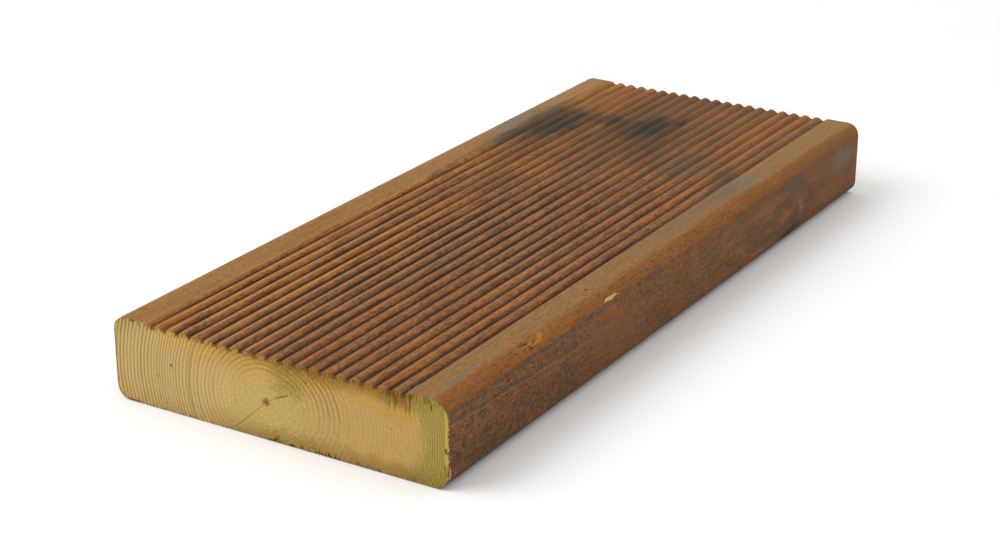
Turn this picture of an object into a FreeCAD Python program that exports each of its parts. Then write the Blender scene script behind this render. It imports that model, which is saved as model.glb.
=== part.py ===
"""Grooved softwood decking board, a short length, machined from one piece of wood.

Millimetres. X runs across the board, Y along the grain and Z up. The origin is the
middle of the flat underside. The grooved face is the top one.
"""
import FreeCAD, Part
import math
import os

# Board, planed all round
board_length = 350.0
board_width = 145.0
board_thickness = 33.0
arris_radius = 5.5          # each of the four long edges

# Grooved face: a run of equal round grooves between two flat margins
flat_margin = 15.0          # from each side of the board to the grooves
groove_pitch = 5.75         # aimed at, and made even over the width between the margins
groove_depth = 1.2          # from the ridges, which are level with the margins
groove_root_radius = 1.3    # the ridges get a larger one, so they are broad and the grooves narrow

# The grooves fill the width between the margins exactly
grooved_width = board_width - 2 * flat_margin
groove_count = round(grooved_width / groove_pitch)
half_pitch = grooved_width / groove_count / 2

# From a ridge's top to a groove's bottom the line is two arcs that meet with one slope:
# the ridge's, which curves down, and the groove's, which curves back to level
slope = 2 * math.atan(groove_depth / half_pitch)
ridge_radius = half_pitch / math.sin(slope) - groove_root_radius


def point(x, z):
    """A point of the board's section, on its first sawn end."""
    return FreeCAD.Vector(x, -board_length / 2, z)


def line(x1, z1, x2, z2):
    """A straight stretch of the section."""
    return Part.LineSegment(point(x1, z1), point(x2, z2)).toShape()


def arc(x, z, radius, start, turn):
    """A stretch of the section about the centre x, z, with its angles in degrees from +X."""
    through = [math.radians(start + turn * share) for share in (0, 0.5, 1)]
    ends = [point(x + radius * math.cos(a), z + radius * math.sin(a)) for a in through]
    return Part.Arc(*ends).toShape()


def groove(middle):
    """One groove and the ridge halves beside it, from its right ridge's top to its left's."""
    turn = math.degrees(slope)
    ridge_centre = board_thickness - ridge_radius
    root_centre = board_thickness - groove_depth + groove_root_radius
    right = arc(middle + half_pitch, ridge_centre, ridge_radius, 90, turn)
    root = arc(middle, root_centre, groove_root_radius, 270 + turn, -2 * turn)
    left = arc(middle - half_pitch, ridge_centre, ridge_radius, 90 - turn, turn)
    return [right, root, left]


def section():
    """The closed outline of the board's end, from the underside round to the left."""
    half = board_width / 2
    side = half - arris_radius
    upper = board_thickness - arris_radius
    inner = grooved_width / 2
    edges = [
        line(-side, 0, side, 0),
        arc(side, arris_radius, arris_radius, 270, 90),
        line(half, arris_radius, half, upper),
        arc(side, upper, arris_radius, 0, 90),
        line(side, board_thickness, inner, board_thickness),
    ]
    for number in range(groove_count):
        edges += groove(inner - half_pitch - 2 * half_pitch * number)
    edges += [
        line(-inner, board_thickness, -side, board_thickness),
        arc(-side, upper, arris_radius, 90, 90),
        line(-half, upper, -half, arris_radius),
        arc(-side, arris_radius, arris_radius, 180, 90),
    ]
    return Part.Wire(edges)


def decking_board():
    """The section run out to the other sawn end."""
    return Part.Face(section()).extrude(FreeCAD.Vector(0, board_length, 0))


board = decking_board()
os.makedirs("parts", exist_ok=True)
board.exportStep("parts/decking_board.step")
print(f"{groove_count} grooves, {2 * half_pitch:.3f} mm pitch, ridge radius {ridge_radius:.2f} mm")
print(f"slope where the arcs meet {math.degrees(slope):.1f} degrees")
print(f"valid {board.isValid()}, solids {len(board.Solids)}, volume {board.Volume / 1000:.1f} cm3")
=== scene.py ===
# %% [markdown]
# # A short length of grooved decking board
# One piece of softwood, planed all round, with a grooved upper face, four rounded long edges and
# two sawn ends. The outside is stained brown by its pressure treatment, and the near sawn end
# shows the bare wood with its growth rings. We load the measured solid first, because it fixes
# the board's size and place, and everything below is built inside its box.

# %% Load the measured board
import math

import bmesh
import bpy
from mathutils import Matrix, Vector


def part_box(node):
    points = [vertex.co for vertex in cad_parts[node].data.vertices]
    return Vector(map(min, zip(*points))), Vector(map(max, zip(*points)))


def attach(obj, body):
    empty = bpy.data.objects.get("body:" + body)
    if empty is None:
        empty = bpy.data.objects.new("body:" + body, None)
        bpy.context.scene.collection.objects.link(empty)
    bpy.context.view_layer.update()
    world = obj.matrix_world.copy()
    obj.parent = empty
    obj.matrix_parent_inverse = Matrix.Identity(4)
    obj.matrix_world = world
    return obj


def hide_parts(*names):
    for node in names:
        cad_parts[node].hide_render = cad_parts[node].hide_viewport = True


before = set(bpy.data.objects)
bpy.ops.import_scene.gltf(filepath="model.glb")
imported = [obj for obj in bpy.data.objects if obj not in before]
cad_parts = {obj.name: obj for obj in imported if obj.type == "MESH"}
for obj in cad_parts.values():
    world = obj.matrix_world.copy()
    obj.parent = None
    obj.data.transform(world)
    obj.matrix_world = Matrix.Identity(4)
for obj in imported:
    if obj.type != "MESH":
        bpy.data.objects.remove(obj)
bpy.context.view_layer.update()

low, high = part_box("decking_board")
width, length, thickness = high - low
near_end, far_end = low.y, high.y
print(f"board {width * 1000:.1f} x {thickness * 1000:.1f} mm, {length * 1000:.0f} mm long")

# %% [markdown]
# ## The camera and the light
# The camera goes in first, so that every look at the model is from the photograph's side. Its
# place and its angle of view were worked out from the board's own edges. The light is what a
# small studio has: a bright white room all round, one big soft lamp, and a pale table.

# %% Camera at the photograph's viewing angle
picture_width = 1000  # pixels
view_width = 2172.3  # pixels from the lens to a picture of that width
camera_place = Vector((0.42868, -0.72259, 0.34399))
camera_turn = math.radians(-31.492)  # away from the board's length, to the left
camera_dip = math.radians(22.202)

camera_data = bpy.data.cameras.new("camera")
camera = bpy.data.objects.new("camera", camera_data)
bpy.context.scene.collection.objects.link(camera)
camera_data.sensor_width = 36
camera_data.lens = camera_data.sensor_width * view_width / picture_width
camera_data.clip_start, camera_data.clip_end = 0.05, 20
look = Vector((
    math.sin(camera_turn) * math.cos(camera_dip),
    math.cos(camera_turn) * math.cos(camera_dip),
    -math.sin(camera_dip),
))
camera.rotation_mode = "QUATERNION"
camera.rotation_quaternion = look.to_track_quat("-Z", "Y")
camera.location = camera_place
bpy.context.scene.camera = camera
bpy.context.scene.view_settings.view_transform = "Standard"
print(f"lens {camera_data.lens:.1f} mm")

# %% Room and lamp
room_light = 0.82
lamp_place = Vector((-0.9, -0.9, 1.3))  # to the left, in front and above
lamp_side = 1.2
lamp_power = 17  # watts

world = bpy.data.worlds.new("white room")
bpy.context.scene.world = world
world.use_nodes = True
room = world.node_tree.nodes["Background"].inputs
room["Color"].default_value = (1, 1, 1, 1)
room["Strength"].default_value = room_light

lamp_data = bpy.data.lights.new("key lamp", "AREA")
lamp_data.size, lamp_data.energy = lamp_side, lamp_power
lamp = bpy.data.objects.new("key lamp", lamp_data)
bpy.context.scene.collection.objects.link(lamp)
lamp.location = lamp_place
lamp.rotation_mode = "QUATERNION"
lamp.rotation_quaternion = (-lamp_place).to_track_quat("-Z", "Y")
print(f"lamp {lamp_place.length:.2f} m from the board's middle")

# %% Table
table_side = 30
table_gap = 0.0002  # so that the board and the table never share a surface


def bare():
    """Leaves edit mode and selects nothing, so that the next operator acts on new things only."""
    if bpy.context.object and bpy.context.object.mode == "EDIT":
        bpy.ops.object.mode_set(mode="OBJECT")
    bpy.ops.object.select_all(action="DESELECT")


bare()
bpy.ops.mesh.primitive_plane_add(size=table_side, location=(0, 0, low.z - table_gap))
table = bpy.context.object
table.name = "table"
print(f"table {table_gap * 1000:.1f} mm under the board")

# %% [markdown]
# ## The sawn end, drawn flat
# A moulded board is one outline run along its length, as it comes out of a planing machine. So we
# draw that outline as an upright plane at the near end, round its corners, cut it into columns
# and rows, press the grooves into its upper edge, and only then pull it out to the full length.
# The columns stay in the sawn end, and give it faces small enough for cracks and torn wood.

# %% An upright plane with rounded corners
arris = 0.0055  # radius of the four long edges
arris_steps = 6  # straight pieces in each
margin = 0.015  # flat strip beside the grooves
pitch = 0.00575
groove_count = 20
groove_depth = 0.0012
root_radius = 0.0013  # at the bottom of a groove


def pick(kind, test):
    """Selects what passes a test in edit mode: VERT by its place, EDGE and FACE by themselves."""
    bpy.ops.mesh.select_mode(type=kind)
    bpy.ops.mesh.select_all(action="DESELECT")
    shape = bmesh.from_edit_mesh(bpy.context.edit_object.data)
    items = {"VERT": shape.verts, "EDGE": shape.edges, "FACE": shape.faces}[kind]
    count = 0
    for item in items:
        if test(item.co if kind == "VERT" else item):
            item.select_set(True)
            count += 1
    bmesh.update_edit_mesh(bpy.context.edit_object.data)
    return count


bare()
bpy.ops.mesh.primitive_plane_add(size=1, location=(0, near_end, low.z + thickness / 2),
                                 rotation=(math.radians(90), 0, 0))
board = bpy.context.object
board.name = "grooved_board"
bpy.ops.object.mode_set(mode="EDIT")
bpy.ops.mesh.select_all(action="SELECT")
bpy.ops.transform.resize(value=(width, 1, thickness))
bpy.ops.object.mode_set(mode="OBJECT")
bpy.ops.object.transform_apply(location=True, rotation=True, scale=True)
bpy.ops.object.mode_set(mode="EDIT")
bpy.ops.mesh.select_all(action="SELECT")
bpy.ops.mesh.bevel(affect="VERTICES", offset=arris, segments=arris_steps, profile=0.5)
print(f"outline has {len(bmesh.from_edit_mesh(board.data).verts)} corners")

# %% Columns and rows
fine_columns = 12  # in each pitch, in the layer that holds the grooves
coarse_columns = 3  # in each pitch, in the wood below it
row_count = 20
groove_floor = high.z - 0.003  # where that layer ends
half_grooved = width / 2 - margin
margin_cuts = (0.0010, 0.0024, 0.0038, 0.0055, 0.0071, 0.0087, 0.0103, 0.0119, 0.0135)  # from a side


def cut(place, normal, where=None):
    """One straight cut right across the picked faces, or across all of them."""
    if where:
        pick("FACE", where)
    else:
        bpy.ops.mesh.select_all(action="SELECT")
    bpy.ops.mesh.bisect(plane_co=place, plane_no=normal)


for step in range(groove_count * coarse_columns + 1):
    cut((-half_grooved + step * pitch / coarse_columns, 0, 0), (1, 0, 0))
for side in (-1, 1):
    for inward in margin_cuts:
        cut((side * (width / 2 - inward), 0, 0), (1, 0, 0))
cut((0, 0, groove_floor), (0, 0, 1))
for row in range(1, row_count):
    cut((0, 0, low.z + row * (groove_floor - low.z) / row_count), (0, 0, 1))


def over_grooves(face):
    middle = face.calc_center_median()
    return middle.z > groove_floor and abs(middle.x) < half_grooved


for step in range(groove_count * fine_columns):
    if step % (fine_columns // coarse_columns):
        cut((-half_grooved + step * pitch / fine_columns, 0, 0), (1, 0, 0), over_grooves)
print(f"sawn end has {len(bmesh.from_edit_mesh(board.data).faces)} faces")

# %% [markdown]
# ## Press the grooves in
# From a groove's bottom to the top of the ridge beside it, the line is two arcs that meet with
# one slope: one in the bottom and one over the ridge. All 20 grooves are alike, so the corners
# that lie equally far from their own groove's middle are picked together and lowered together,
# and six moves make them all.

# %% Lower the columns' upper corners
hair = 1e-6  # metres: places closer than this are one
half_pitch = pitch / 2
slope = 2 * math.atan(groove_depth / half_pitch)
ridge_radius = half_pitch / math.sin(slope) - root_radius


def groove_drop(away):
    """How far the surface lies under the ridges at this distance from a groove's middle."""
    if away < root_radius * math.sin(slope):
        return groove_depth - root_radius + math.sqrt(root_radius ** 2 - away ** 2)
    across = half_pitch - away
    return ridge_radius - math.sqrt(ridge_radius ** 2 - across ** 2)


def from_groove(x):
    """Distance from x to the middle of the nearest groove."""
    along = (x + half_grooved) % pitch
    return abs(along - half_pitch)


for step in range(fine_columns // 2):
    away = step * pitch / fine_columns
    moved = pick("VERT", lambda co: abs(co.z - high.z) < hair and abs(co.x) < half_grooved
                 and abs(from_groove(co.x) - away) < hair)
    drop = groove_drop(away)
    bpy.ops.transform.translate(value=(0, 0, -drop))
    print(f"{moved} corners {away * 1000:.2f} mm from a groove's middle, down {drop * 1000:.2f} mm")

# %% [markdown]
# ## Pull the section out to its length
# One extrusion makes the whole board, and leaves a sawn end at each side. Its long faces are then
# cut into short ones, because worn ridges, torn grain and scars need corners to move. The two
# ends get their own material slot while they are still easy to pick: they are the only faces that
# look straight along the board.

# %% Extrude and divide
bpy.ops.mesh.select_mode(type="FACE")
bpy.ops.mesh.select_all(action="SELECT")
bpy.ops.mesh.extrude_region_move(TRANSFORM_OT_translate={"value": (0, length, 0)})
for cuts in (19, 9):  # 20 pieces, and then 10 of each
    found = pick("EDGE", lambda edge: abs(edge.verts[0].co.y - edge.verts[1].co.y) > hair)
    bpy.ops.mesh.subdivide(number_cuts=cuts)
    print(f"{found} long edges cut into {cuts + 1}")
bpy.ops.mesh.select_all(action="SELECT")
bpy.ops.mesh.normals_make_consistent(inside=False)

for name in ("stained_face", "sawn_end"):
    board.data.materials.append(bpy.data.materials.new(name))


def looks_along(face):
    """True for the faces of the sawn ends, and for the edge round them that leans half way."""
    return abs(face.normal.y) > 0.3


def to_sawn_slot(faces):
    """Gives the faces that pass this test to the sawn ends' material."""
    count = pick("FACE", faces)
    board.active_material_index = 1
    bpy.ops.object.material_slot_assign()
    return count


print(f"{to_sawn_slot(looks_along)} faces in the two sawn ends")

# %% [markdown]
# ## Break the sawn edges
# A saw leaves a thin broken edge all round each end. A bevel a quarter of a millimetre wide stands
# for it: it catches the light, and in the grooves it gives the torn wood a second row of corners.
# Two more cuts close behind it let the fibres tear without pulling the rest of the board along.

# %% Bevel the ends' outlines
broken_edge = 0.00025
behind_edge = (0.0006, 0.0011)  # where the two cuts behind it lie, from the end
end_zone = 0.0018  # the cuts touch no face further from the end than this


def end_outline(edge):
    """True for an edge between a sawn end and a long face."""
    faces = edge.link_faces
    return len(faces) == 2 and looks_along(faces[0]) != looks_along(faces[1])


print(f"{pick('EDGE', end_outline)} edges round the two ends")
bpy.ops.mesh.bevel(affect="EDGES", offset=broken_edge, segments=1)
print(f"{to_sawn_slot(looks_along)} faces in the ends with their broken edges")

for inward in behind_edge:
    for place in (near_end + inward, far_end - inward):
        cut((0, place, 0), (0, 1, 0), lambda face: not looks_along(face)
            and abs(face.calc_center_median().y) > far_end - end_zone)

# %% [markdown]
# ## The heart check
# Boards that hold the pith nearly always split through it as they dry. This one has a straight
# crack that runs up to the pith from the lower edge, and a short one beyond it. Each is three
# cuts side by side in the end's faces, and the few corners that the middle one leaves are pushed
# into the wood. The tips stay whole, and paint draws the rest of the crack further on.

# %% Cut the cracks
pith = Vector((-0.0035, 0, 0.0146))  # across and up, in the near end
crack_width, crack_depth = 0.0002, 0.0004
past_tip, beside_line = 0.001, 0.002  # how far from the crack a face may be and still be cut
whole_start, whole_finish = 0.0005, 0.0003  # what stays unsplit at its tips


def crack(start, finish):
    """A V-shaped split in the near end, from one place (x, z) to another."""
    start = Vector((start[0], near_end, start[1]))
    run = Vector((finish[0], near_end, finish[1])) - start
    along = run.normalized()
    across = along.cross(Vector((0, 1, 0)))

    def beside(face):
        from_start = face.calc_center_median() - start
        return (abs(from_start.y) < hair
                and -past_tip < from_start.dot(along) < run.length + past_tip
                and abs(from_start.dot(across)) < beside_line)

    for offset in (-crack_width / 2, 0, crack_width / 2):
        cut(start + across * offset, across, beside)
    count = pick("VERT", lambda co: abs((co - start).dot(across)) < hair
                 and abs(co.y - near_end) < hair
                 and whole_start < (co - start).dot(along) < run.length - whole_finish)
    bpy.ops.transform.translate(value=(0, crack_depth, 0))
    return count


print(crack((-0.0175, 0.0018), (-0.0046, 0.0136)), "corners pushed in below the pith")
print(crack((0.0012, 0.0172), (0.0062, 0.0195)), "corners pushed in above it")

# %% [markdown]
# ## Unroll the surface for baking
# When the model is exported, its materials are baked into one square picture, through a UV map of
# this name. We lay that map out: the long faces are unrolled into a strip round the
# section, the two ends lie beside each other below it, and what shows best gets the most room.
# The densities are in picture points for each millimetre.

# %% Lay out the bake's map
picture = 1024  # points along each side
gutter = 8  # points between the pieces of the map
along_density = 2.85  # of all the long faces, along the grain
underside_density, left_density, top_density, right_density = 0.9, 2.0, 3.4, 3.2
near_density, far_density = 4.9, 2.0
flat = width / 2 - arris
quarter = arris * math.pi / 2  # round one long edge
straight = thickness - 2 * arris


def down_side(x, z):
    """Distance from the upper face's edge, round the long edge and down the side."""
    out = abs(x) - flat
    if z > high.z - arris:
        return arris * math.atan2(out, z - (high.z - arris))
    if z > low.z + arris:
        return quarter + high.z - arris - z
    return quarter + straight + arris * math.atan2(low.z + arris - z, out)


bare()
layer = board.data.uv_layers.new(name="OFBake")
band = {}  # where each band of the strip starts, in points
start = gutter
for name, size, density in (("underside", 2 * flat, underside_density),
                            ("left", 2 * quarter + straight, left_density),
                            ("top", 2 * flat, top_density),
                            ("right", 2 * quarter + straight, right_density)):
    band[name] = start
    start += size * 1000 * density + gutter
ends_start = start
for face in board.data.polygons:
    middle = face.center
    for index in face.loop_indices:
        place = board.data.vertices[board.data.loops[index].vertex_index].co
        along = gutter + (place.y - near_end) * 1000 * along_density
        if face.material_index == 1 and middle.y < 0:
            spot = (gutter + (place.x + width / 2) * 1000 * near_density,
                    ends_start + place.z * 1000 * near_density)
        elif face.material_index == 1:
            left = 2 * gutter + width * 1000 * near_density
            spot = (left + (place.x + width / 2) * 1000 * far_density,
                    ends_start + place.z * 1000 * far_density)
        elif abs(middle.x) > flat:
            name, density = ("right", right_density) if middle.x > 0 else ("left", left_density)
            spot = (along, band[name] + down_side(place.x, place.z) * 1000 * density)
        elif middle.z > thickness / 2:
            spot = (along, band["top"] + (place.x + flat) * 1000 * top_density)
        else:
            spot = (along, band["underside"] + (place.x + flat) * 1000 * underside_density)
        layer.data[index].uv = (spot[0] / picture, spot[1] / picture)
print(f"map reaches {ends_start + thickness * 1000 * near_density:.0f} of {picture} points up")

# %% [markdown]
# ## Wear and torn grain
# The cutters leave the ridges a little uneven, and the fibres at a sawn edge tear. Both are done
# with Displace modifiers that only ever sink the surface, so the board stays inside its measured
# box. Wood is uneven along the grain in a much slower way than across it, and a Displace texture
# can be stretched with an Empty: the modifier reads the place as that Empty sees it.

# %% Sink the surface unevenly
def sink(name, cell, depth, weight):
    """Sinks the surface by up to this depth, unevenly in cells of this size along x, y and z."""
    group = board.vertex_groups.new(name=name)
    for corner in board.data.vertices:
        share = weight(corner.co)
        if share > 0:
            group.add([corner.index], min(share, 1), "REPLACE")
    bare()
    bpy.ops.object.empty_add(location=(0, 0, 0))
    stretch = bpy.context.object
    stretch.scale = cell
    clouds = bpy.data.textures.new(name, "CLOUDS")
    clouds.noise_scale, clouds.noise_depth = 1, 2
    modifier = board.modifiers.new(name, "DISPLACE")
    modifier.texture, modifier.texture_coords = clouds, "OBJECT"
    modifier.texture_coords_object = stretch
    modifier.mid_level, modifier.strength = 1, depth
    modifier.vertex_group = name
    bare()
    bpy.context.view_layer.objects.active = board
    board.select_set(True)
    bpy.ops.object.modifier_apply(modifier=name)
    board.vertex_groups.remove(board.vertex_groups[name])
    bpy.data.objects.remove(stretch)
    bpy.data.textures.remove(clouds)
    print(f"{name}: up to {depth * 1000:.2f} mm")


torn_reach = 0.0015  # how far behind the sawn edge its fibres tear
torn_below = 0.4  # how much the lower edge tears, where the upper one is 1


def on_planed(co):
    """1 over the grooved part, a half on the plain faces, and 0 inside the sawn ends."""
    if abs(co.y) > far_end - hair:
        return 0
    return 1 if abs(co.x) < half_grooved and co.z > groove_floor else 0.5


def at_sawn_edge(co):
    """1 at the near end's broken edge, 0 further in or behind, and 0 down the left side."""
    inset = min(abs(abs(co.x) - width / 2), abs(co.z - high.z) - groove_depth, abs(co.z))
    if abs(co.y) > far_end - hair and inset > broken_edge * 1.5:
        return 0
    if co.y > 0 or co.x < -0.071:
        return 0
    torn = 1 - (far_end - abs(co.y)) / torn_reach
    above_or_right = co.z > 0.02 or co.x > 0.06
    return torn if above_or_right else torn * torn_below


sink("uneven ridges", (0.0035, 0.030, 0.0035), 0.00012, on_planed)
sink("raised grain", (0.0012, 0.012, 0.0012), 0.00008, on_planed)
sink("torn edge", (0.0009, 0.0030, 0.0009), 0.0003, at_sawn_edge)

# %% [markdown]
# ## Scars
# Knocks have torn the right long edge open in two places, and a fibre has been pulled out of the
# near end's lower right corner. They are sunk in the same way, each inside its own soft ellipse.

# %% Sink the scars
crease = math.radians(32)  # faces that meet at more than this keep a sharp line


def inside(middle, size):
    """A weight that falls from 1 in the middle of an ellipse to 0 at its rim."""
    def weight(co):
        gone = Vector([(co[i] - middle[i]) / size[i] for i in range(3)])
        return 1 - gone.length_squared
    return weight


sink("long scar", (0.0010, 0.0030, 0.0010), 0.0011,
     inside((0.0693, -0.1145, 0.0325), (0.0026, 0.0085, 0.004)))
sink("gouge", (0.0010, 0.0060, 0.0010), 0.0011,
     inside((0.0722, -0.0600, 0.0300), (0.004, 0.0062, 0.0014)))
sink("torn corner", (0.0012, 0.0012, 0.0030), 0.0009,
     inside((0.0725, -0.1745, 0.0055), (0.003, 0.0022, 0.004)))

bare()
bpy.context.view_layer.objects.active = board
board.select_set(True)
bpy.ops.object.shade_smooth_by_angle(angle=crease)
triangles = sum(len(face.vertices) - 2 for face in board.data.polygons)
print(f"board has {triangles} triangles")

# %% [markdown]
# ## A maker's shorthand for materials
# Wood is painted in layers: a ground colour, then streaks, stains and dirt over it, each as thick
# as some pattern says. Node by node that would be pages of code, so two small classes shorten it.
# A Field is one socket, and adding or multiplying two fields adds a Math node. A Finish is one
# material, with a method for each thing done again and again. All its patterns read the Object
# coordinates, turned into millimetres, so they go through the board as grain does.

# %% Fields and finishes
class Field:
    """One socket of a node tree. Sums, differences and products of fields add Math nodes."""

    def __init__(self, finish, socket):
        self.finish, self.socket = finish, socket

    def __add__(self, other):
        return self.finish.number("ADD", self, other)

    def __sub__(self, other):
        return self.finish.number("SUBTRACT", self, other)

    def __rsub__(self, other):
        return self.finish.number("SUBTRACT", other, self)

    def __mul__(self, other):
        return self.finish.number("MULTIPLY", self, other)

    __radd__, __rmul__ = __add__, __mul__


class Finish:
    """One material and short ways to add its nodes. Its lengths are millimetres, and its colours
    red, green and blue as a picture shows them, from 0 to 255."""

    def __init__(self, material, ground):
        material.use_nodes = True
        self.name, self.tree = material.name, material.node_tree
        self.shader = self.tree.nodes["Principled BSDF"]
        self.colour, self.height = seen(*ground), 0.0
        metres = self.add("ShaderNodeTexCoord")[3]
        self.place = self.vector("MULTIPLY", metres, (1000, 1000, 1000))
        self.x, self.y, self.z = self.add("ShaderNodeSeparateXYZ", self.place)

    def add(self, kind, *feeds, **settings):
        """A new node: its settings by name, then its inputs in their order, None for as it is."""
        node = self.tree.nodes.new(kind)
        for name, value in settings.items():
            setattr(node, name, value)
        for socket, feed in zip(node.inputs, feeds):
            if isinstance(feed, Field):
                self.tree.links.new(feed.socket, socket)
            elif feed is not None:
                socket.default_value = feed
        return [Field(self, socket) for socket in node.outputs]

    def number(self, operation, *feeds):
        return self.add("ShaderNodeMath", *feeds, operation=operation)[0]

    def vector(self, operation, *feeds):
        results = self.add("ShaderNodeVectorMath", *feeds, operation=operation)
        return results[1] if operation == "LENGTH" else results[0]

    def fade(self, value, start, end):
        """0 at start and 1 at end, with a soft curve between, also where end is the lower."""
        return self.add("ShaderNodeMapRange", value, start, end, 0, 1,
                        interpolation_type="SMOOTHSTEP")[0]

    def band(self, value, middle, outer, inner):
        """1 within the inner distance of a middle value, and 0 past the outer one."""
        return self.fade(self.number("ABSOLUTE", value - middle), outer, inner)

    def noise(self, cell, detail=2):
        """A cloudy pattern round 0.5, with cells of this size along x, y and z."""
        cells = self.vector("DIVIDE", self.place, cell)
        return self.add("ShaderNodeTexNoise", cells, None, 1, detail)[0]

    def stirred(self, cell, reach):
        """The place, pushed about by up to half this reach, so that outlines come out ragged."""
        cells = self.vector("DIVIDE", self.place, cell)
        push = self.add("ShaderNodeTexNoise", cells, None, 1, 2)[1]
        push = self.vector("SUBTRACT", push, (0.5, 0.5, 0.5))
        return self.vector("MULTIPLY_ADD", push, reach, self.place)

    def spot(self, middle, size, soft=0.6, place=None):
        """1 inside an ellipse of these half sizes, fading to 0 at its rim."""
        off = self.vector("SUBTRACT", place or self.ragged, middle)
        off = self.vector("DIVIDE", off, size)
        return self.fade(self.vector("LENGTH", off), 1, 1 - soft)

    def paint(self, over, amount):
        """Lays a colour over what is there, as thick as the amount says, from 0 to 1."""
        self.colour = self.add("ShaderNodeMix", amount, None, None, None, None, None,
                               self.colour, seen(*over), data_type="RGBA")[2]

    def tint(self, over, pattern, start, stop, amount):
        """Paints where a pattern has passed start, and in full from stop on."""
        self.paint(over, self.fade(pattern, start, stop) * amount)

    def tell(self, what):
        print(f"{self.name}, {what}: {len(self.tree.nodes)} nodes so far")

    def join(self, roughness, relief):
        """Joins colour, roughness and height to the shader. Relief is the height's size."""
        self.tree.links.new(self.colour.socket, self.shader.inputs["Base Color"])
        self.tree.links.new(roughness.socket, self.shader.inputs["Roughness"])
        normal = self.add("ShaderNodeBump", 1, relief / 1000, None, self.height)[0]
        self.tree.links.new(normal.socket, self.shader.inputs["Normal"])


room_shine = 0.009  # what the pale room adds to every colour by its reflection
darkest = 0.002
dry_wood_shine = 0.2  # bare and weathered wood reflect less than a smooth plastic


def seen(red, green, blue):
    """A colour as a picture shows it, 0 to 255, in the straight scale that materials use."""
    channels = []
    for value in (red, green, blue):
        share = value / 255
        share = share / 12.92 if share < 0.04045 else ((share + 0.055) / 1.055) ** 2.4
        channels.append(max(share - room_shine, darkest))
    return (*channels, 1)


print(f"a picture's middle grey, 128, is {seen(128, 128, 128)[0]:.3f} in a material")

# %% [markdown]
# ## Growth rings
# Each ring is a pale early band that darkens into a thin late one and then stops sharply. The
# rings go round the pith, so everything follows from the distance to it: a count that grows by
# one for each ring, of which the fraction says how far through its ring a point is. This board's
# rings are wide near the pith, a little flattened, and wider to its right, and a slow noise keeps
# them from being true circles.

# %% Rings from the distance to the pith
pith_x, pith_z = pith.x * 1000, pith.z * 1000
ring_width = 1.62  # millimetres, far from the pith
missing_rings = 5  # fewer than that width would give, most of them near the pith
young_reach = 16  # millimetres round the pith where the rings are wide
close_rings = 2.4  # more than that width gives, in the lean years
flattened = 1.12  # how much closer the rings are above and below the pith
wider_right = 0.14  # the share by which they are wider to its right


def growth_rings(wood, swell=0.0):
    """How dark the late wood is here, how far from the pith, and a shade for this ring."""
    right = wood.fade(wood.x, pith_x - 8, pith_x + 8)
    round_part = wood.fade(wood.x, -20, -38)
    across = (wood.x - pith_x) * (1 - right * wider_right)
    up = (wood.z - pith_z) * (flattened - round_part * (flattened - 1))
    radius = wood.vector("LENGTH", wood.add("ShaderNodeCombineXYZ", across, 0.0, up)[0])
    radius = radius + (wood.noise((24, 240, 24)) - 0.5) * 1.4 + swell
    young = wood.number("EXPONENT", radius * (-1 / young_reach))
    lean = wood.fade(radius, 38, 54)
    count = radius * (1 / ring_width) + young * missing_rings + lean * close_rings
    count = count + (wood.noise((4, 60, 4), 1) - 0.5) * 0.35
    part = wood.number("FRACT", count)
    late = wood.fade(part, 0.35, 0.88) * wood.fade(part, 1.0, 0.88)
    ring = wood.number("FLOOR", count)
    shade = wood.add("ShaderNodeTexWhiteNoise", None, ring, noise_dimensions="1D")[0]
    return late, radius, shade


rings = (width * 500 + pith_x) / ring_width - missing_rings + close_rings
print(f"about {rings:.0f} rings from the pith to the left side")

# %% [markdown]
# ## The sawn ends
# Bare wood, with the treatment showing only where it crept in: green along the right end and at
# the upper left corner, yellow and brown under the grooves, olive along the bottom. The late wood
# shows best on the left. The surface is rough from the saw, so it hardly shines. One material does
# both ends, and the single marks are spots that end long before the far one.

# %% Sawn end: ground colours
end = Finish(board.data.materials["sawn_end"], (177, 148, 95))
end.ragged = end.stirred((5, 5, 5), (7, 7, 7))
late, radius, shade = growth_rings(end)
cloudy = end.noise((14, 14, 22), 3)
grain = end.noise((0.6, 0.6, 0.8), 3)
speck = end.noise((0.45, 0.45, 1.1), 2)
fibre = end.noise((0.55, 0.55, 2.4), 2)
near_y = near_end * 1000


def end_spot(x, z, across, up, soft=0.6, place=None):
    """A spot on the near end, from its middle and its half sizes."""
    return end.spot((x, near_y, z), (across, 60, up), soft, place)


end.tint((178, 142, 90), cloudy, 0.42, 0.62, 0.5)
end.tint((183, 155, 90), radius, 24, 8, 0.8)
end.tint((181, 146, 88), end.x, 12, 30, 0.7)
end.tell("ground")

# %% Sawn end: where the treatment crept in
upper = end.fade(end.z + (end.noise((6, 6, 6), 3) - 0.5) * 12 + late * 2, 22, 30)
end.tint((182, 142, 64), end.x, -62, -38, upper * 0.85)
end.paint((190, 144, 58), end_spot(-45, 30, 8, 5) * 0.55)
end.paint((180, 136, 60), end_spot(53, 25.5, 12, 6.5, 0.8) * 0.75)
end.paint((140, 120, 62), end_spot(7, 24.5, 11, 8, 0.8) * 0.8)
end.paint((128, 92, 30), end_spot(15, 31.5, 30, 6.4, 0.85) * 0.9)
end.paint((138, 98, 34), end_spot(40, 31.5, 14, 5.6, 0.85) * 0.7)
end.paint((116, 80, 32), end_spot(53, 31.5, 11, 6, 0.8) * 0.85)
end.tint((118, 84, 24), end.z, 28, 31, end.fade(end.x, -60, -20) * 0.3)
end.tint((126, 88, 26), end.z, 25.5, 29, end.fade(end.x, -6, 8) * 0.25)
end.paint((170, 130, 46), end_spot(16, 26, 14, 4.5, 0.8) * 0.4)
end.paint((206, 174, 122), end_spot(-25, 16, 13, 13, 0.8) * 0.3)
half_way_up = end.band(end.z, 18, 9, 3)
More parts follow.
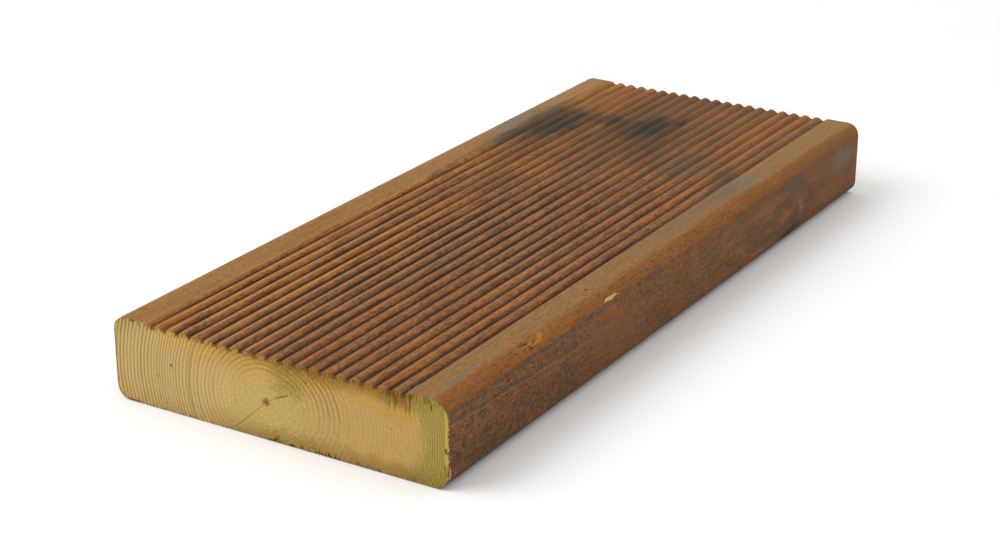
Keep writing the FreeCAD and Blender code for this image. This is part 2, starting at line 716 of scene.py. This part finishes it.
right_end = end.fade(end.x + (end.noise((5, 5, 7), 3) - 0.5) * 9 - half_way_up * 3.5, 56, 64)
end.paint((146, 128, 62), right_end * 0.95)
end.paint((146, 132, 72), end_spot(-69, 31, 13, 8, 0.9) * 0.8)
lower = end.fade(end.z + (end.noise((5, 5, 5), 3) - 0.5) * 5, 8.0, 0.8)
end.tint((130, 104, 46), end.x, -30, 6, lower * 0.85)
end.paint((150, 122, 62), lower * 0.55)
end.tint((112, 92, 38), end.x, 46, 60, lower * 0.4)
end.tell("treatment")

# %% [markdown]
# Late wood doesn't show alike everywhere: clearly on the left, boldly in a band above the pith, and
# faintly to the right. In the green right end, fine dark and pale lines take its place.

# %% Sawn end: rings
left = end.fade(end.x, -20, -40)
far_left = end.fade(end.x, -50, -64)
bold = end.fade(radius, 12, 15) * end.fade(radius, 33, 27) * end.fade(end.z + end.x * 0.25, 17, 28)
plain = 1 - right_end
faint = end.fade(radius, 9, 20) * (0.19 - end.fade(end.x, 20, 30) * 0.09)
strength = left * 0.34 + far_left * 0.14 + bold * 0.62 + faint + 0.04
strength = strength * (0.4 + shade * 0.75) * plain
end.paint((126, 94, 46), late * strength * (0.6 + fibre * 0.7))
pale = end.fade(late, 0.25, 0.0)
end.paint((200, 178, 128), pale * (left * 0.34 + 0.05) * plain)
close_line = end.number("PINGPONG", radius * 2.3 + (fibre - 0.5) * 1.4, 1.0)
end.tint((112, 98, 38), close_line, 0.50, 1.0, right_end * 0.6)
end.tint((176, 162, 92), close_line, 0.45, 0.0, right_end * 0.45)
one_ring = end.band(radius, 34.8, 0.65, 0.15) * end.fade(end.x, 0, -20)
end.paint((150, 100, 44), one_ring * 0.5)
end.tell("rings")

# %% [markdown]
# The crack, the pith and a few small marks are drawn where the photograph has them. A line from
# one place to another needs the nearest point of that line, which is the usual sum: how far along
# the run the place lies, kept between its two ends.

# %% Sawn end: crack, pith and dots
def thin_line(finish, start, stop, half_width):
    """1 on a straight line from one place (x, z) to another, fading to 0 at its sides."""
    run = Vector((stop[0] - start[0], 0, stop[1] - start[1]))
    from_start = finish.vector("SUBTRACT", finish.place, (start[0], 0, start[1]))
    flat_place = finish.vector("MULTIPLY", from_start, (1, 0, 1))
    share = finish.add("ShaderNodeVectorMath", flat_place, tuple(run), operation="DOT_PRODUCT")[1]
    share = finish.add("ShaderNodeClamp", share * (1 / run.length_squared))[0]
    nearest = finish.vector("MULTIPLY", finish.add("ShaderNodeCombineXYZ", share, share, share)[0],
                            tuple(run))
    gone = finish.vector("LENGTH", finish.vector("SUBTRACT", flat_place, nearest))
    return finish.fade(gone, half_width, half_width * 0.2)


at_near_end = end.fade(end.y, 0, -50)
broken = end.fade(grain, 0.35, 0.55)
turns = (-17.5, 1.8), (-9, 9.6), (-3.5, 14.6), (1.2, 17.4), (6.2, 19.6), (14, 27)
parts = (0.42, 0.4, 0.2), (0.36, 0.45, 0), (0.36, 0.4, 0), (0.38, 0.4, 0.2), (0.4, 0.3, 0)
check = 0
for start, stop, (half_width, torn, whole) in zip(turns, turns[1:], parts):
    check = check + thin_line(end, start, stop, half_width) * (broken * torn + whole)
end.paint((112, 92, 34), check * at_near_end)
star = end.stirred((1.2, 1.2, 1.2), (1.4, 1.4, 1.4))
end.paint((132, 108, 58), end_spot(-3.6, 14.6, 2.1, 2.1, 0.5, star))
end.paint((100, 78, 40), end_spot(-3.6, 14.6, 1.2, 1.2, 0.6, star) * 0.8)
for x, z, size, amount in ((-46, 18.9, 0.85, 0.9), (-49, 3.5, 0.6, 0.7), (50, 18, 0.55, 0.6),
                           (62, 24, 0.7, 0.4), (-28, 2.2, 0.6, 0.4), (14.5, 26.8, 0.6, 0.7)):
    end.paint((88, 58, 30), end_spot(x, z, size, size, 0.8, end.place) * amount)
end.paint((166, 126, 40), end_spot(-52.6, 13.6, 1.1, 1.0, 0.8, end.place) * 0.8)

end.tint((208, 184, 128), speck, 0.56, 0.72, end.fade(radius, 44, 8) * 0.5 + 0.25)
end.tint((144, 114, 66), grain, 0.46, 0.28, 0.45)
end.tint((150, 118, 68), fibre, 0.46, 0.30, end.fade(end.x, -10, 20) * 0.4)
end.tint((112, 98, 48), speck, 0.46, 0.32, end_spot(4, 22, 13, 9, 0.9) * 0.8)
end.tell("crack and dots")

# %% [markdown]
# Round the edge the fibres have frayed and taken up the stain, so there is a thin dark line on the
# left, ticks along the bottom, a red-brown mark under each groove, brown tips on the ridges and a
# few long dark streaks by the last grooves. The right edge is a yellow line with three brown
# marks. Most of it is drawn on a place that is stirred a little, so that nothing is quite straight.

# %% Sawn end: its edge
rim_place = end.stirred((1.1, 1.1, 1.1), (1.0, 1.0, 1.0))
rim_x, _, rim_z = end.add("ShaderNodeSeparateXYZ", rim_place)
arris_mm, flat_mm, half_thickness_mm = arris * 1000, flat * 1000, thickness * 500
half_grooved_mm, pitch_mm = half_grooved * 1000, pitch * 1000
out_x = end.number("MAXIMUM", end.number("ABSOLUTE", rim_x) - flat_mm, 0.0)
out_z = end.number("ABSOLUTE", rim_z - half_thickness_mm) - (half_thickness_mm - arris_mm)
out_z = end.number("MAXIMUM", out_z, 0.0)
round_edge = end.vector("LENGTH", end.add("ShaderNodeCombineXYZ", out_x, 0.0, out_z)[0])
left_line = end.fade(round_edge, 4.6, 5.0) * end.fade(end.x, -58, -66)
end.paint((84, 52, 28), left_line * end.fade(end.noise((3, 3, 3)), 0.3, 0.5) * 0.85)
ticks = end.fade(end.noise((0.9, 3, 2.8), 2), 0.47, 0.62)
lowest = end.fade(rim_z, 2.6, 0.2) * end.fade(end.x, 66, 62)
end.paint((70, 54, 24), ticks * lowest * (0.5 + end_spot(16, 0, 26, 6, 0.9)))
end.paint((60, 48, 22), end_spot(-1.5, 1.0, 5, 1.3, 0.8) * 0.9)

in_pitch = end.number("FRACT", (rim_x + half_grooved_mm) * (1 / pitch_mm))
under_groove = end.band(in_pitch, 0.56, 0.28, 0.08)
grooved_part = end.band(end.x, 0, half_grooved_mm + 0.1, half_grooved_mm - 0.5)
end.paint((96, 48, 26), under_groove * grooved_part * end.fade(rim_z, 30.4, 31.6) * 0.9)
end.tint((136, 98, 48), rim_z, 31.5, 32.7, grooved_part * 0.65)
frayed = end.fade(end.noise((0.7, 3, 2.4), 2), 0.48, 0.62)
end.tint((98, 66, 28), rim_z, 29.5, 32.2, frayed * 0.75)
streaky = end.fade(end.noise((0.7, 3, 7), 2), 0.48, 0.64)
end.paint((84, 60, 26), streaky * end_spot(54, 30, 11, 7, 0.7, end.place) * 0.9)
end.paint((72, 60, 28), end_spot(66.3, 30, 0.5, 1.9, 0.7, end.place) * 0.9)
end.tint((186, 168, 84), rim_x, 71.4, 72.0, end.fade(end.z, 1, 6) * 0.8)
end.tint((92, 48, 24), rim_x, 71.0, 71.8, end_spot(72.3, 15.4, 3, 1.6, 0.5) * 0.8)
end.paint((150, 96, 40), end_spot(71.7, 8.6, 1.4, 1.5, 0.8, end.place) * 0.8)
end.paint((96, 62, 26), end_spot(72.0, 6.2, 0.9, 2.0, 0.8, end.place) * 0.85)

end.height = grain * 0.5 + speck * 0.3 + late * 0.3
end.join(0.8 + grain * 0.15, 0.12)
end.shader.inputs["Specular IOR Level"].default_value = dry_wood_shine
end.tell("all")

# %% [markdown]
# ## The stained faces
# Everything that the planer and the treatment have touched. The ground is a warm brown with long
# streaks along the grain. Over it goes what depends on place: how far a spot lies from its groove's
# bottom, the tan margins, the rougher and darker sides. The knot, the single stains and the scars
# follow, and last the pale fibres at the near end's rim.

# %% Stained face: ground and streaks
stain = Finish(board.data.materials["stained_face"], (138, 95, 57))
stain.ragged = stain.stirred((6, 14, 6), (10, 24, 10))
late = growth_rings(stain, (stain.noise((30, 55, 30), 1) - 0.5) * 12)[0]

crisp = stain.fade(stain.y, 150, 0) * 0.6 + 0.4
thread = stain.noise((0.45, 11, 0.45), 2)
streak = stain.noise((0.9, 24, 0.9), 3)
broad = stain.noise((7, 70, 7), 2)
mottle = stain.noise((1.1, 2.6, 1.1), 4)
fleck = stain.noise((0.6, 1.1, 0.6), 2)
uneven = stain.noise((2.6, 24, 2.6), 2)
golden = stain.fade(stain.x + (stain.noise((30, 90, 30)) - 0.5) * 30, -14, -34)
stain.paint((176, 118, 50), golden * 0.9)
stain.tint((156, 100, 50), stain.x, 22, 40, 0.7)
stain.tint((150, 98, 52), broad, 0.46, 0.60, 0.5)
stain.paint((118, 90, 66), stain.fade(stain.noise((9, 50, 9)), 0.50, 0.62) * 0.6)
stain.tint((134, 82, 56), uneven, 0.50, 0.64, 0.6)
stain.tell("ground")

# %% [markdown]
# Where a spot lies in its groove's pitch says what it looks like: 0 and 1 are ridge tops, one half
# is the groove's bottom. The right flank, up to one half, is the one that the picture shows best.

# %% Stained face: ridges and grooves
ridge = stain.number("FLOOR", (stain.x + half_grooved_mm) * (1 / pitch_mm) + 0.5)
ridge_shade = stain.add("ShaderNodeTexWhiteNoise", None, ridge, noise_dimensions="1D")[0]
ridge_shade = ridge_shade + (stain.noise((9, 60, 9)) - 0.5) * 1.6
stain.tint((112, 86, 62), ridge_shade, 0.55, 0.80, 0.42 - golden * 0.25)
stain.tint((160, 98, 52), ridge_shade, 0.45, 0.15, 0.35)
sideways = stain.number("ABSOLUTE", stain.x)
upward = stain.fade(stain.z, 30.6, 31.4)
grooved = stain.fade(sideways, half_grooved_mm + 0.2, half_grooved_mm - 0.2) * upward
in_pitch = stain.number("FRACT", (stain.x + half_grooved_mm) * (1 / pitch_mm))
waver = (uneven - 0.5) * 0.22 + (thread - 0.5) * 0.12
from_bottom = stain.number("ABSOLUTE", in_pitch + waver - 0.49)
faded_zone = stain.spot((-46, 156, 33), (17, 30, 12), 0.7)
# how much of the grooves' darkening is kept: less toward the far end and in a faded zone at the far
# left
groove_darkening = (1 - stain.fade(stain.y, -60, 170) * 0.55) * (1 - faded_zone * 0.7)
painted_flank_shade = stain.fade(from_bottom, 0.40, 0.04) * grooved
bottom = stain.fade(from_bottom, 0.19, 0.05) * grooved
crest = stain.fade(from_bottom, 0.34, 0.46) * grooved
# painted shade: each groove's flanks darken toward its bottom
stain.paint((86, 56, 38), painted_flank_shade * 0.62 * groove_darkening)
stain.tell("ridges")

# %% [markdown]
# The margins are tan strips that turn greyer toward the far end, and the left one's tan narrows a
# little on its way there. The sides are darker. Fine streaks and specks then break up every plain
# colour, most of all near the front.

# %% Stained face: margins and sides
left_slip = stain.fade(stain.x, 0, -20) * ((stain.y - near_y) * 0.019 - 0.8)
margin_mask = stain.fade(sideways - left_slip, 55.3, 56.3)
margin_mask = margin_mask * stain.fade(stain.z, 29.5, 32.3)
side_mask = stain.fade(sideways, 69.6, 72.0) * stain.fade(stain.z, 31.0, 28.5)
under = stain.fade(stain.z, 3.0, 0.4)
rough = side_mask * stain.fade(stain.y + (stain.noise((20, 20, 20)) - 0.5) * 60, 30, -60)
stain.paint((140, 106, 64), margin_mask * 0.92)
stain.tint((154, 106, 54), stain.x, 0, -10, margin_mask * 0.6)
greyed = stain.fade(stain.y, -50, 160) * (stain.fade(stain.x, 0, -10) * 0.7 + 0.3)
stain.paint((162, 130, 94), margin_mask * greyed * 0.5)
stain.paint((104, 74, 45), side_mask * 0.92)
stain.tint((96, 68, 44), stain.z, 20, 6, side_mask * 0.5)
stain.paint((118, 84, 54), under * 0.6)
stain.tell("margins and sides")

# %% Stained face: fine streaks and specks
quiet = margin_mask * 0.65 + side_mask * 0.45
lively = (1 - quiet) * crisp
stain.tint((172, 112, 54), mottle, 0.50, 0.66, lively * 0.55)
stain.tint((76, 48, 34), mottle, 0.48, 0.32, lively * 0.60)
stain.tint((182, 124, 62), thread, 0.54, 0.70, lively * 0.45)
stain.tint((74, 44, 34), thread, 0.46, 0.32, lively * 0.50)
stain.tint((80, 52, 34), streak, 0.48, 0.30, 0.30)
stain.tint((166, 124, 76), streak, 0.54, 0.74, 0.25)
stain.paint((84, 56, 34), late * (0.12 + side_mask * 0.16) * crisp)
stain.tint((190, 128, 62), fleck, 0.60, 0.74, grooved * crisp * 0.6)
stain.tint((112, 48, 32), fleck, 0.42, 0.28, grooved * crisp * 0.6)
fine_grain = stain.noise((0.5, 3.2, 0.5), 2)
stain.tint((112, 82, 48), fine_grain, 0.48, 0.34, margin_mask * crisp * 0.5)
stain.tint((168, 132, 82), fine_grain, 0.54, 0.68, margin_mask * crisp * 0.4)

grime = stain.spot((4, -30, 33), (30, 110, 12), 0.9, stain.place)
stain.paint((112, 92, 72), grime * crest * stain.fade(streak, 0.42, 0.58) * 0.5)
# painted highlight: the crests are lightened near the front on the left, and in one patch to the
# right
near_left = stain.fade(stain.y, 20, -80) * stain.fade(stain.x, 8, -14)
painted_crest_highlight = near_left + stain.spot((32, -56, 33), (24, 44, 9), 0.9) * 0.8
stain.paint((192, 134, 72), crest * painted_crest_highlight * 0.36)
# a near-black line along each groove's bottom, partly dirt and partly painted shade; over the grime
# spot it turns greyer
dirt_and_shade_line = bottom * (grime * 0.14 + near_left * 0.10 + 0.86) * groove_darkening
stain.paint((50, 33, 24), dirt_and_shade_line)
stain.paint((46, 42, 36), dirt_and_shade_line * grime * 0.7)
stain.tell("fine streaks")

# %% [markdown]
# The near half of each side was never planed quite smooth: its dark brown breaks up into specks of
# red and olive a millimetre or two across. On the right one a grey streak runs just under the
# rounded edge, and at the near end lie a pale ledge and a dark line above that. Its far half is
# smooth, and there a knot lies below the surface, so the grain swirls round it.

# %% Stained face: right side
coarse = stain.noise((1.3, 2.6, 1.3), 5)
patch = stain.noise((9, 16, 7), 2)
stain.tint((132, 78, 46), patch, 0.48, 0.62, side_mask * 0.45)
stain.tint((96, 80, 58), patch, 0.44, 0.30, side_mask * 0.5)
stain.tint((150, 88, 54), coarse, 0.52, 0.68, rough * 0.55)
stain.tint((64, 42, 30), coarse, 0.48, 0.34, rough * 0.65)
stain.tint((156, 120, 80), fleck, 0.56, 0.70, rough * 0.5)
stain.tint((58, 40, 30), fleck, 0.46, 0.30, rough * 0.6)
stain.tint((80, 56, 40), stain.z, 24, 8, rough * 0.25)
ledge_height = stain.z + (stain.noise((8, 30, 8)) - 0.5) * 3
right_only = stain.fade(stain.x, 60, 70)
grey_streak = stain.band(ledge_height, 28.2, 1.5, 0.2)
grey_streak = grey_streak * stain.fade(streak, 0.40, 0.56) * stain.fade(stain.y, 20, -40)
stain.paint((78, 72, 66), grey_streak * right_only * 0.65)
falling = ledge_height + (stain.y + 160) * 0.047
ledge_part = right_only * side_mask * stain.fade(stain.y, -60, -90)
ledge = stain.band(falling, 23.0, 0.8, 0.1)
stain.paint((138, 100, 70), ledge * ledge_part * 0.4)
above_ledge = stain.band(falling, 24.3, 1.1, 0.2)
stain.paint((70, 58, 50), above_ledge * ledge_part * 0.45)

swirl_place = stain.vector("SUBTRACT", stain.stirred((12, 26, 12), (8, 22, 8)), (72.5, 80, 14))
swirl = stain.vector("LENGTH", stain.vector("DIVIDE", swirl_place, (60, 43, 12.5)))
swirl_line = stain.number("PINGPONG", swirl * 3.9 + (streak - 0.5) * 0.8, 1.0)
near_knot = stain.fade(swirl, 1.35, 0.9) * right_only * side_mask
pale_arcs = (0.4 + stain.fade(stain.y, 92, 112) * 0.4) * stain.fade(patch, 0.38, 0.56)
stain.paint((134, 108, 84), near_knot * stain.fade(swirl_line, 0.72, 1.0) * pale_arcs)
stain.tint((82, 58, 42), swirl_line, 0.40, 0.05, near_knot * 0.45)
stain.tell("right side")

# %% [markdown]
# No rule gives the single stains, so each has a line of its own: an ellipse's middle and half
# sizes in millimetres, a colour, and how thick it lies. A later one covers an earlier one.

# %% Stained face: stains, one by one
black_stain, blue_grey, orange = (58, 56, 48), (116, 108, 92), (146, 90, 46)
marks = (
    # broad shades
    ((-34, 18, 33), (15, 46, 9), (84, 62, 50), 0.3),
    ((9, 84, 33), (13, 40, 9), (76, 60, 46), 0.28),
    ((-53, -52, 33), (12, 40, 9), (164, 108, 46), 0.2),
    ((-53, -168, 33), (14, 20, 9), (166, 106, 44), 0.3),
    ((72, -56, 14), (4, 46, 20), (138, 84, 50), 0.45),
    ((72, 74, 22), (4, 20, 7), (144, 92, 52), 0.45),
    ((72, 106, 9), (4, 20, 7), (66, 50, 34), 0.45),
    ((59, 12, 33), (6, 44, 4), (104, 92, 76), 0.45),
    ((-12, 116, 33), (46, 84, 12), (92, 66, 46), 0.55),
    ((-40, 74, 33), (24, 44, 9), (84, 62, 46), 0.4),
    ((0, 172, 33), (42, 17, 9), (98, 70, 50), 0.4),
    # the black stain toward the far end, and what shows between its parts
    ((-51, 122, 33), (11, 14, 9), (64, 54, 44), 0.75),
    ((2, 106, 33), (16, 36, 10), (76, 62, 48), 0.55),
    ((-27, 146, 33), (13, 36, 10), (100, 70, 50), 0.6),
    ((-57, 120, 33), (11, 24, 9), (84, 70, 54), 0.75),
    ((-57, 86, 33), (8, 44, 9), black_stain, 0.8),
    ((-49, 100, 33), (13, 34, 9), black_stain, 0.9),
    ((-41, 109, 33), (12, 26, 9), black_stain, 0.85),
    ((-28, 122, 33), (18, 12, 9), (70, 54, 44), 0.85),
    ((-8, 121, 33), (14, 26, 9), black_stain, 1.0),
    ((0, 133, 33), (4, 18, 9), black_stain, 0.8),
    ((-17, 110, 33), (9, 20, 9), (80, 60, 48), 0.5),
    ((-42, 154, 33), (18, 22, 9), orange, 0.6),
    ((-14, 158, 33), (16, 18, 9), (116, 80, 56), 0.4),
    ((-43, 127, 33), (3.5, 4.5, 9), (136, 84, 52), 0.7),
    ((-25, 132, 33), (3.5, 4, 9), orange, 0.8),
    # margins, and the grooves beside the right one
    ((-67, 94, 33), (9, 30, 5), blue_grey, 0.95),
    ((28, 84, 33), (26, 30, 9), (88, 74, 56), 0.45),
    ((60, 60, 33), (9, 44, 4), (114, 94, 74), 0.8),
    ((60, 77, 33), (8, 17, 4), blue_grey, 0.7),
    ((51, 76, 33), (7, 26, 6), (80, 68, 54), 0.75),
    ((66.4, -152, 33), (1.8, 26, 3), (108, 100, 84), 0.75),
    # right side
    ((72, -158, 10), (4, 7, 4), (74, 72, 62), 0.55),
    ((72, -94, 15), (4, 5, 6), (70, 58, 48), 0.5),
    ((72, -133, 19), (4, 8, 2.5), (140, 78, 52), 0.5),
    ((72, -62, 25), (4, 14, 4), (150, 84, 46), 0.6),
    ((72, -108, 17), (4, 15, 4), (132, 76, 48), 0.45),
    ((72, 42, 17), (4, 12, 3), (140, 88, 58), 0.65),
    ((72, 82, 21), (4, 10, 3), (142, 90, 60), 0.65),
    ((72, 97, 12), (4, 10, 5), (148, 88, 50), 0.75),
    ((72, 140, 8), (4, 20, 3), (138, 82, 52), 0.6),
    ((72, 108, 13), (4, 6, 7), (76, 62, 46), 0.7),
    ((72, 104, 26), (4, 18, 4), (84, 78, 68), 0.75),
    ((72, 138, 20), (4, 9, 5), (112, 74, 54), 0.6),
    ((72, 158, 22), (4, 17, 9), (114, 98, 80), 0.75),
    ((72, 101, 3), (6, 16, 4.5), (52, 48, 38), 0.9),
    ((72, -150, 6), (4, 18, 4), (70, 60, 46), 0.5),
)
for middle, size, colour, amount in marks:
    stain.paint(colour, stain.spot(middle, size, 0.9) * amount)
stain.tell(f"{len(marks)} stains")

# %% Stained face: the right side's two rounded edges
lower_arris = right_only * stain.fade(stain.z + (coarse - 0.5) * 3, 4.5, 1.0)
stain.paint((54, 40, 30), lower_arris * 0.6)

arris_low = stain.z + stain.fade(stain.y, -60, 60) * 0.7
arris_in = stain.x + (broad - 0.5) * 5 - stain.fade(stain.y, 50, 110) * 1.3
right_arris = stain.fade(arris_in, 65.4, 68.4)
right_arris = right_arris * stain.fade(arris_low + (thread - 0.5) * 2, 28.6, 31.0)
stain.paint((132, 82, 38), right_arris * (stain.fade(uneven, 0.3, 0.6) * 0.35 + 0.5))
reddish = stain.fade(stain.y, -60, -150) * stain.fade(broad, 0.40, 0.56)
stain.paint((146, 82, 42), right_arris * reddish * 0.45)
golden_part = stain.spot((69, -104, 32), (6, 26, 6), 0.9)
stain.paint((150, 100, 48), right_arris * golden_part * 0.7)
stain.tint((92, 58, 34), mottle, 0.50, 0.36, right_arris * crisp * 0.45)
stain.tint((160, 108, 54), thread, 0.54, 0.66, right_arris * crisp * 0.4)
stain.tell("rounded edges")

# %% Stained face: scars, dots and the frayed rim
scar_fibres = stain.noise((0.5, 5, 0.5), 2)
scar = stain.spot((69.3, -114.5, 32), (2.9, 10, 5), 0.5, stain.stirred((2, 4, 2), (3, 6, 3)))
stain.paint((180, 126, 52), scar * stain.fade(scar_fibres, 0.46, 0.60))
stain.paint((46, 26, 16), scar * stain.fade(scar_fibres, 0.46, 0.36))
gouge = stain.spot((72.2, -60, 30.1), (4, 6.6, 0.75), 0.5, stain.stirred((2, 4, 2), (1, 4, 1.2)))
stain.paint((204, 176, 96), gouge)
for place, size in (((63, -64, 33), 0.9), ((-19, -66, 33), 1.1), ((48.4, -123, 33), 0.5)):
    stain.paint((50, 34, 22), stain.spot(place, (size, size * 1.4, 3), 0.7, stain.place) * 0.9)
resin = stain.spot((55.2, -168, 32), (0.9, 7, 3), 0.7, stain.stirred((1.5, 2, 1.5), (2, 3, 2)))
stain.tint((134, 146, 146), fleck, 0.4, 0.55, resin * 0.9)

rim = stain.y - near_y + (stain.noise((1.0, 2.0, 1.0), 3) - 0.5) * 3.2
at_rim = stain.fade(rim, 1.4, 0.4)
stain.paint((196, 170, 82), at_rim * stain.fade(stain.x, 70, 72) * stain.fade(stain.z, 30, 26))
stain.tint((166, 120, 58), rim, 2.4, 0.2, crest * 0.45)
stain.tint((160, 116, 54), rim, 0.8, 0.0, grooved * 0.8)
torn_fibre = stain.spot((72.3, -172.9, 5.6), (3, 0.6, 3.4), 0.6, stain.place)
stain.paint((206, 160, 96), torn_fibre * 0.85)
stain.tint((160, 124, 70), rim, 0.6, -0.2, margin_mask * 0.7)

stain.height = streak * 0.5 + mottle * 0.4 + thread * 0.3 + rough * coarse * 1.2
stain.join(0.6 + uneven * 0.2, 0.2)
stain.shader.inputs["Specular IOR Level"].default_value = dry_wood_shine
stain.tell("all")

# %% [markdown]
# ## The table
# A pale matt sheet. It carries the board and a soft shadow, and it isn't part of the object.

# %% Table material
paper = Finish(bpy.data.materials.new("pale_table"), (254, 254, 254))
paper.paint((251, 251, 250), paper.noise((60, 60, 60)))
paper.height = paper.noise((2, 2, 2))
paper.join(0.7 + paper.noise((5, 5, 5)) * 0.1, 0.01)
table.data.materials.append(bpy.data.materials["pale_table"])
paper.tell("all")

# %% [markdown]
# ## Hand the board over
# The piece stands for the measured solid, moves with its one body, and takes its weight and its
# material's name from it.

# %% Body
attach(board, "root")
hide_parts("decking_board")
